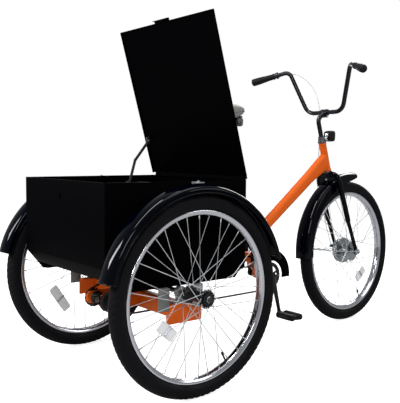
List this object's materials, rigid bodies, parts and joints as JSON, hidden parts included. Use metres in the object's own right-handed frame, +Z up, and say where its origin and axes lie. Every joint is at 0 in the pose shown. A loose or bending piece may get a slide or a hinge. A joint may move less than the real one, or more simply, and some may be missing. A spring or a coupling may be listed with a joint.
{
  "type": "cargo tricycle",
  "caption": "Pedal tricycle with a black sheet-metal cargo box and open lid between the rear wheels, orange frame, black mudguards, high handlebar and grey saddle.",
  "frame": {"origin": "on the ground, under the middle of the whole vehicle", "axes": "+X forward, in the direction of travel; +Y to the rider's left; +Z up"},
  "size_m": [1.9057, 0.8866, 1.2924],
  "materials": {
    "frame_orange": "satin",
    "sheet_black": "satin",
    "gloss_black": "gloss",
    "bar_black": "gloss",
    "galvanised": "matt",
    "zinc": "satin",
    "chain_steel": "oiled",
    "tyre": "matt",
    "rim_silver": "satin",
    "hub_black": "satin",
    "hub_silver": "cast",
    "grip_rubber": "matt",
    "saddle_vinyl": "satin",
    "pedal_plastic": "matt",
    "lamp_black": "gloss",
    "cable_grey": "satin"
  },
  "bodies": {
    "frame": {"head_tube": "frame_orange", "main_tube": "frame_orange", "seat_tube": "frame_orange", "bottom_bracket": "frame_orange", "backbone": "frame_orange", "cross_beam": "frame_orange", "axle_carriers": "frame_orange", "bearing_blocks": "galvanised", "box_brackets": "galvanised", "box_rear_panel": "sheet_black", "box_left_panel": "sheet_black", "box_right_panel": "sheet_black", "box_front_panel": "sheet_black", "box_floor": "sheet_black", "lid_hinge_fixed": "sheet_black", "stay_foot": "zinc", "rear_mudguard_left": "gloss_black", "rear_mudguard_right": "gloss_black", "seat_post": "zinc", "saddle": "saddle_vinyl", "saddle_frame": "sheet_black", "chain": "chain_steel", "axle_chain": "chain_steel", "chain_guard": "gloss_black"},
    "steering": {"fork": "gloss_black", "front_axle": "zinc", "drum_brake": "zinc", "headset": "zinc", "stem": "bar_black", "handlebar": "bar_black", "grip_left": "grip_rubber", "grip_right": "grip_rubber", "brake_lever": "zinc", "brake_cable": "cable_grey", "headlamp": "lamp_black", "front_mudguard": "gloss_black"},
    "front_wheel": {"front_tyre": "tyre", "front_rim": "rim_silver", "front_hub": "hub_silver"},
    "left_rear_wheel": {"rear_tyre_left": "tyre", "rear_rim_left": "rim_silver", "rear_hub_left": "hub_black"},
    "right_rear_wheel": {"rear_tyre_right": "tyre", "rear_rim_right": "rim_silver", "rear_hub_right": "hub_black", "rear_axle": "zinc"},
    "crank": {"chainring": "chain_steel", "crank_arms": "chain_steel"},
    "pedal_left": {"pedal_left": "pedal_plastic"},
    "pedal_right": {"pedal_right": "pedal_plastic"},
    "hub_driver": {"hub_driver": "chain_steel"},
    "drive_hub": {"drive_hub": "hub_black"},
    "lid": {"lid_panel": "sheet_black", "lid_handle": "sheet_black", "lid_hinge_moving": "sheet_black", "stay_bracket": "zinc"},
    "stay_lower": {"stay_lower": "zinc"},
    "stay_upper": {"stay_upper": "zinc"}
  },
  "joints": [
    {"name": "steering", "type": "hinge", "parent": "frame", "child": "steering", "pos_m": [0.45035, 0, 0.78], "axis": [-0.2924, 0, 0.9563], "range_deg": [-45, 45]},
    {"name": "front_wheel", "type": "hinge", "parent": "steering", "child": "front_wheel", "pos_m": [0.61926, 0.00238, 0.33347], "axis": [-0.0734, 0.9971, -0.0224], "continuous": true},
    {"name": "left_rear_wheel", "type": "hinge", "parent": "frame", "child": "left_rear_wheel", "pos_m": [-0.59465, 0.38, 0.3335], "axis": [0, 1, 0], "continuous": true},
    {"name": "right_rear_wheel", "type": "hinge", "parent": "frame", "child": "right_rear_wheel", "pos_m": [-0.59465, -0.38, 0.3335], "axis": [0, 1, 0], "continuous": true},
    {"name": "crank", "type": "hinge", "parent": "frame", "child": "crank", "pos_m": [0.04935, 0, 0.28], "axis": [0, 1, 0], "continuous": true},
    {"name": "pedal_left", "type": "hinge", "parent": "crank", "child": "pedal_left", "pos_m": [0.00587, 0.1185, 0.44228], "axis": [0, 1, 0], "continuous": true},
    {"name": "pedal_right", "type": "hinge", "parent": "crank", "child": "pedal_right", "pos_m": [0.09283, -0.1315, 0.11772], "axis": [0, 1, 0], "continuous": true},
    {"name": "hub_driver", "type": "hinge", "parent": "frame", "child": "hub_driver", "pos_m": [-0.73565, -0.052, 0.275], "axis": [0, 1, 0], "continuous": true},
    {"name": "drive_hub", "type": "hinge", "parent": "frame", "child": "drive_hub", "pos_m": [-0.73565, 0, 0.275], "axis": [0, 1, 0], "continuous": true},
    {"name": "lid", "type": "hinge", "parent": "frame", "child": "lid", "pos_m": [-0.30165, 0, 0.711], "axis": [0, 1, 0], "range_deg": [-74.1, 6]},
    {"name": "stay_lower", "type": "hinge", "parent": "frame", "child": "stay_lower", "pos_m": [-0.44965, 0.266, 0.674], "axis": [0, 1, 0], "range_deg": [-111, 9.9]},
    {"name": "stay_upper", "type": "hinge", "parent": "lid", "child": "stay_upper", "pos_m": [-0.35566, 0.2635, 0.8495], "axis": [0, 1, 0], "range_deg": [-9.8, 109.3]}
  ],
  "couplings": [
    {"joint": "hub_driver", "follows": "crank", "ratio": 1.75},
    {"joint": "drive_hub", "follows": "right_rear_wheel", "ratio": 1},
    {"joint": "stay_lower", "follows": "lid", "ratio": 1.4838},
    {"joint": "stay_upper", "follows": "lid", "ratio": -1.4621}
  ]
}
